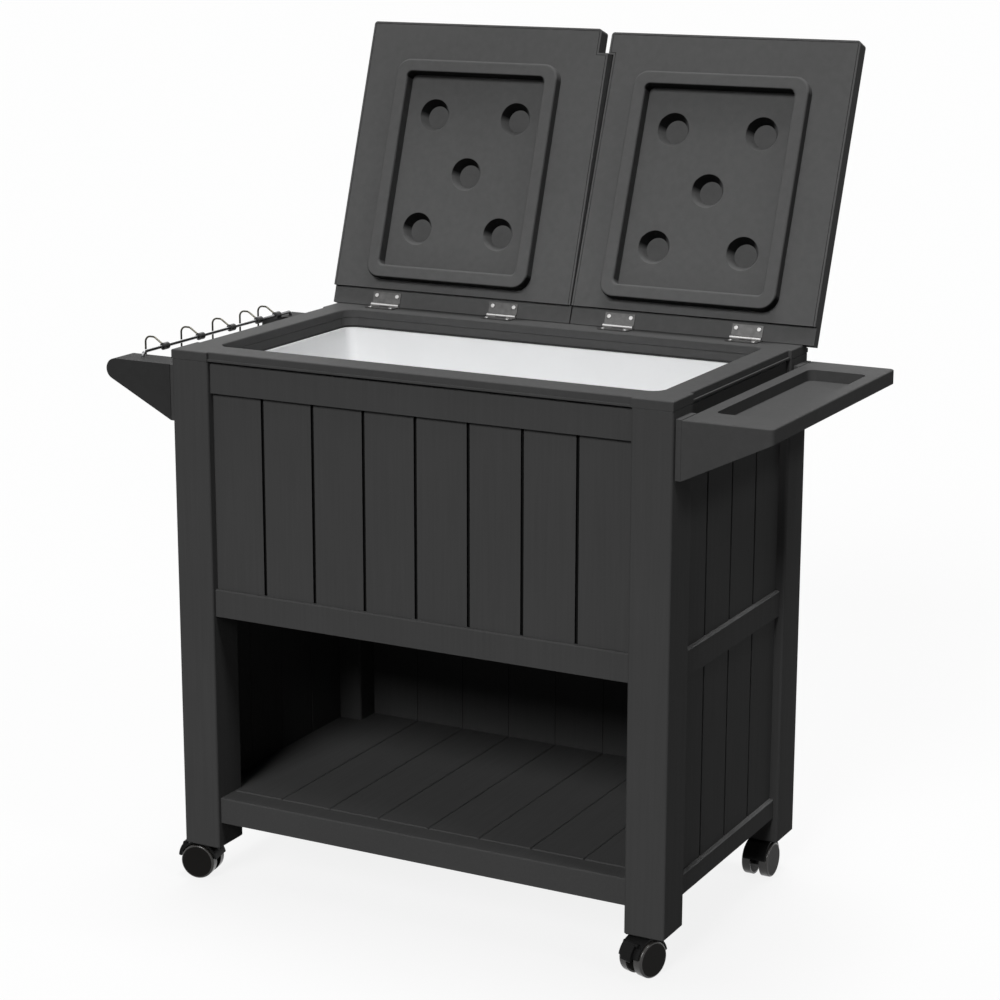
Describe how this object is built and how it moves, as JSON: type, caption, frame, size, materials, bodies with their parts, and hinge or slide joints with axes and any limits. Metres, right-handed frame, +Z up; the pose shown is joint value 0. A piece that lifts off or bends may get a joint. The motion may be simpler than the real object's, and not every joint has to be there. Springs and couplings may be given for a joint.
{
  "type": "patio cooler",
  "caption": "Free-standing patio cooler cart: an insulated tub in a boarded plastic cabinet with hinged lids, a lower shelf, a side tray, a utensil bar and casters.",
  "frame": {"origin": "on the floor under the middle of the whole object's box, lids open", "axes": "+Z up, the front with the open lower compartment looks towards -Y, +X runs from the utensil bar to the condiment tray"},
  "size_m": [1.068, 0.6734, 1.2723],
  "materials": {
    "cabinet_plastic": "matte",
    "lid_plastic": "matte",
    "liner_plastic": "satin",
    "black_plastic": "satin",
    "wheel_plastic": "satin",
    "seal_rubber": "matte",
    "insulating_foam": "matte",
    "zinc_steel": "satin",
    "bar_steel": "polished"
  },
  "bodies": {
    "cabinet": {"front_left_leg": "cabinet_plastic", "front_right_leg": "cabinet_plastic", "rear_left_leg": "cabinet_plastic", "rear_right_leg": "cabinet_plastic", "front_panel": "cabinet_plastic", "rear_panel": "cabinet_plastic", "left_side_panel": "cabinet_plastic", "right_side_panel": "cabinet_plastic", "top_rim": "cabinet_plastic", "rim_collar": "cabinet_plastic", "tub_seal": "seal_rubber", "tub_liner": "liner_plastic", "tub_insulation": "insulating_foam", "tub_support_panel": "cabinet_plastic", "drain_spout": "liner_plastic", "drain_nut": "black_plastic", "shelf": "cabinet_plastic", "hanger_strips": "cabinet_plastic", "front_bar_bracket": "cabinet_plastic", "rear_bar_bracket": "cabinet_plastic", "utensil_bar": "bar_steel", "condiment_tray": "cabinet_plastic", "rim_hinge_leaves": "zinc_steel", "hinge_pins": "zinc_steel", "rim_hinge_screws": "zinc_steel", "caster_sockets": "black_plastic"},
    "left_lid": {"left_lid_shell": "lid_plastic", "left_lid_panel": "lid_plastic", "left_lid_foam": "insulating_foam", "left_lid_hinge_leaves": "zinc_steel", "left_lid_hinge_screws": "zinc_steel"},
    "right_lid": {"right_lid_shell": "lid_plastic", "right_lid_panel": "lid_plastic", "right_lid_foam": "insulating_foam", "right_lid_hinge_leaves": "zinc_steel", "right_lid_hinge_screws": "zinc_steel"},
    "plug": {"drain_plug": "seal_rubber"},
    "sliding_hook_1": {"hook_1": "bar_steel"},
    "sliding_hook_2": {"hook_2": "bar_steel"},
    "sliding_hook_3": {"hook_3": "bar_steel"},
    "sliding_hook_4": {"hook_4": "bar_steel"},
    "sliding_hook_5": {"hook_5": "bar_steel"},
    "front_left_caster": {"front_left_caster_housing": "black_plastic", "front_left_caster_steel": "zinc_steel"},
    "front_left_inner_wheel": {"front_left_caster_inner_wheel": "wheel_plastic"},
    "front_left_outer_wheel": {"front_left_caster_outer_wheel": "wheel_plastic"},
    "front_left_brake": {"front_left_brake_lever": "black_plastic"},
    "front_right_caster": {"front_right_caster_housing": "black_plastic", "front_right_caster_steel": "zinc_steel"},
    "front_right_inner_wheel": {"front_right_caster_inner_wheel": "wheel_plastic"},
    "front_right_outer_wheel": {"front_right_caster_outer_wheel": "wheel_plastic"},
    "front_right_brake": {"front_right_brake_lever": "black_plastic"},
    "rear_left_caster": {"rear_left_caster_housing": "black_plastic", "rear_left_caster_steel": "zinc_steel"},
    "rear_left_inner_wheel": {"rear_left_caster_inner_wheel": "wheel_plastic"},
    "rear_left_outer_wheel": {"rear_left_caster_outer_wheel": "wheel_plastic"},
    "rear_right_caster": {"rear_right_caster_housing": "black_plastic", "rear_right_caster_steel": "zinc_steel"},
    "rear_right_inner_wheel": {"rear_right_caster_inner_wheel": "wheel_plastic"},
    "rear_right_outer_wheel": {"rear_right_caster_outer_wheel": "wheel_plastic"}
  },
  "joints": [
    {"name": "left_lid_hinge", "type": "hinge", "parent": "cabinet", "child": "left_lid", "pos_m": [-0.20925, 0.15215, 0.8334], "axis": [1, 0, 0], "range_deg": [0, 108.6]},
    {"name": "right_lid_hinge", "type": "hinge", "parent": "cabinet", "child": "right_lid", "pos_m": [0.19325, 0.15215, 0.8334], "axis": [1, 0, 0], "range_deg": [0, 110.7]},
    {"name": "drain_plug_pull", "type": "slide", "parent": "cabinet", "child": "plug", "axis": [0, 0, 1], "range_m": [0, 0.06]},
    {"name": "hook_1_slide", "type": "slide", "parent": "cabinet", "child": "sliding_hook_1", "axis": [0, 1, 0], "range_m": [-0.03, 0.04]},
    {"name": "hook_2_slide", "type": "slide", "parent": "cabinet", "child": "sliding_hook_2", "axis": [0, 1, 0], "range_m": [-0.04, 0.035]},
    {"name": "hook_3_slide", "type": "slide", "parent": "cabinet", "child": "sliding_hook_3", "axis": [0, 1, 0], "range_m": [-0.035, 0.032]},
    {"name": "hook_4_slide", "type": "slide", "parent": "cabinet", "child": "sliding_hook_4", "axis": [0, 1, 0], "range_m": [-0.032, 0.02]},
    {"name": "hook_5_slide", "type": "slide", "parent": "cabinet", "child": "sliding_hook_5", "axis": [0, 1, 0], "range_m": [-0.02, 0.015]},
    {"name": "front_left_swivel", "type": "hinge", "parent": "cabinet", "child": "front_left_caster", "pos_m": [-0.3795, -0.28035, 0.06], "axis": [0, 0, 1], "continuous": true},
    {"name": "front_left_inner_wheel_spin", "type": "hinge", "parent": "front_left_caster", "child": "front_left_inner_wheel", "pos_m": [-0.39969, -0.28391, 0.027], "axis": [0.1736, -0.9848, 0], "continuous": true},
    {"name": "front_left_outer_wheel_spin", "type": "hinge", "parent": "front_left_caster", "child": "front_left_outer_wheel", "pos_m": [-0.39969, -0.28391, 0.027], "axis": [0.1736, -0.9848, 0], "continuous": true},
    {"name": "front_left_brake_lift", "type": "hinge", "parent": "front_left_caster", "child": "front_left_brake", "pos_m": [-0.4232, -0.28805, 0.0526], "axis": [-0.1736, 0.9848, 0], "range_deg": [0, 20]},
    {"name": "front_right_swivel", "type": "hinge", "parent": "cabinet", "child": "front_right_caster", "pos_m": [0.3635, -0.28035, 0.06], "axis": [0, 0, 1], "continuous": true},
    {"name": "front_right_inner_wheel_spin", "type": "hinge", "parent": "front_right_caster", "child": "front_right_inner_wheel", "pos_m": [0.35683, -0.29973, 0.027], "axis": [0.9455, -0.3256, 0], "continuous": true},
    {"name": "front_right_outer_wheel_spin", "type": "hinge", "parent": "front_right_caster", "child": "front_right_outer_wheel", "pos_m": [0.35683, -0.29973, 0.027], "axis": [0.9455, -0.3256, 0], "continuous": true},
    {"name": "front_right_brake_lift", "type": "hinge", "parent": "front_right_caster", "child": "front_right_brake", "pos_m": [0.34906, -0.3223, 0.0526], "axis": [-0.9455, 0.3256, 0], "range_deg": [0, 20]},
    {"name": "rear_left_swivel", "type": "hinge", "parent": "cabinet", "child": "rear_left_caster", "pos_m": [-0.3795, 0.14265, 0.06], "axis": [0, 0, 1], "continuous": true},
    {"name": "rear_left_inner_wheel_spin", "type": "hinge", "parent": "rear_left_caster", "child": "rear_left_inner_wheel", "pos_m": [-0.39126, 0.12586, 0.027], "axis": [0.8192, -0.5736, 0], "continuous": true},
    {"name": "rear_left_outer_wheel_spin", "type": "hinge", "parent": "rear_left_caster", "child": "rear_left_outer_wheel", "pos_m": [-0.39126, 0.12586, 0.027], "axis": [0.8192, -0.5736, 0], "continuous": true},
    {"name": "rear_right_swivel", "type": "hinge", "parent": "cabinet", "child": "rear_right_caster", "pos_m": [0.3635, 0.14265, 0.06], "axis": [0, 0, 1], "continuous": true},
    {"name": "rear_right_inner_wheel_spin", "type": "hinge", "parent": "rear_right_caster", "child": "rear_right_inner_wheel", "pos_m": [0.3635, 0.12215, 0.027], "axis": [1, 0, 0], "continuous": true},
    {"name": "rear_right_outer_wheel_spin", "type": "hinge", "parent": "rear_right_caster", "child": "rear_right_outer_wheel", "pos_m": [0.3635, 0.12215, 0.027], "axis": [1, 0, 0], "continuous": true}
  ]
}
